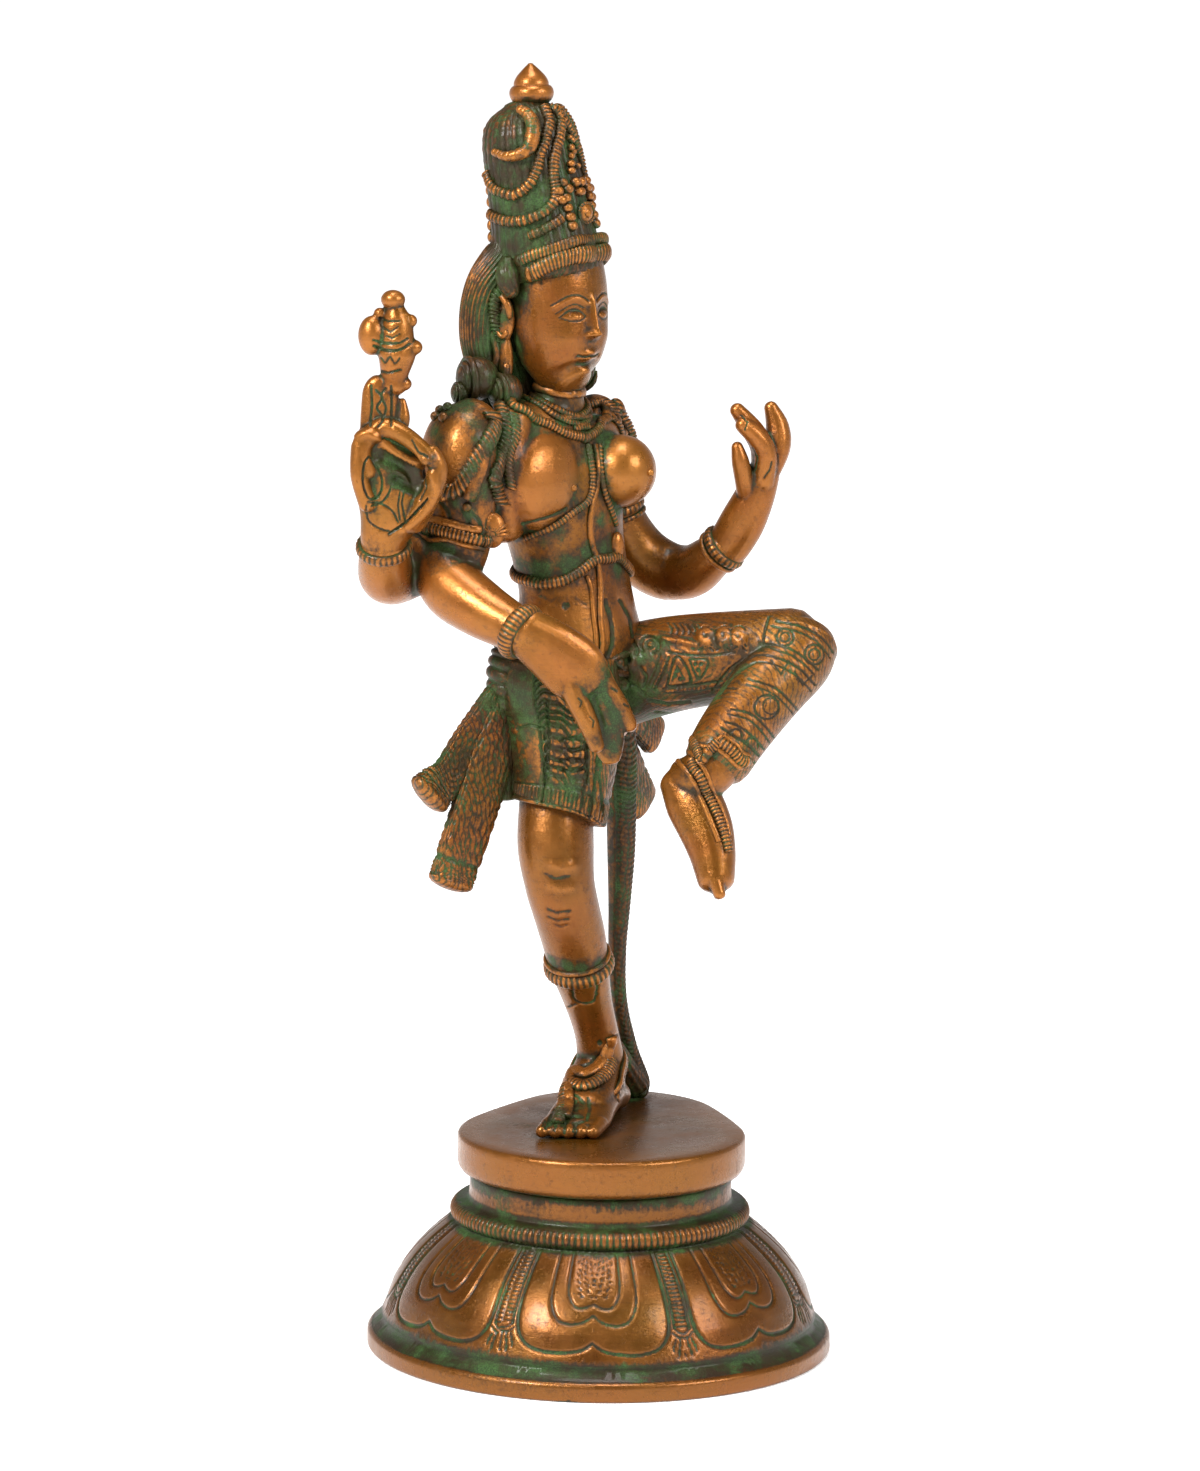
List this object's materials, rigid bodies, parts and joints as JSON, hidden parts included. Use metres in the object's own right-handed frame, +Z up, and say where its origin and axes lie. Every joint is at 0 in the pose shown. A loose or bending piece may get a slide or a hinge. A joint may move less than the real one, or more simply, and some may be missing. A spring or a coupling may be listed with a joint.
{
  "type": "ardhanarishvara figure",
  "caption": "Cast brass figure with several arms, dancing on one leg on a round foot slab, with the slab's turned lotus plinth below it.",
  "frame": {"origin": "centre of the round plinth's flat underside", "axes": "+Z up along the plinth's axis, -Y the way the figure's chest and face look, +X the figure's left side"},
  "size_m": [0.1238, 0.12, 0.3299],
  "materials": {
    "figure": "worn brown brass with green patina in the recesses",
    "lotus_plinth": "worn brown brass with green patina in the grooves"
  },
  "bodies": {
    "root": {"figure": "figure", "lotus_plinth": "lotus_plinth"}
  },
  "joints": []
}
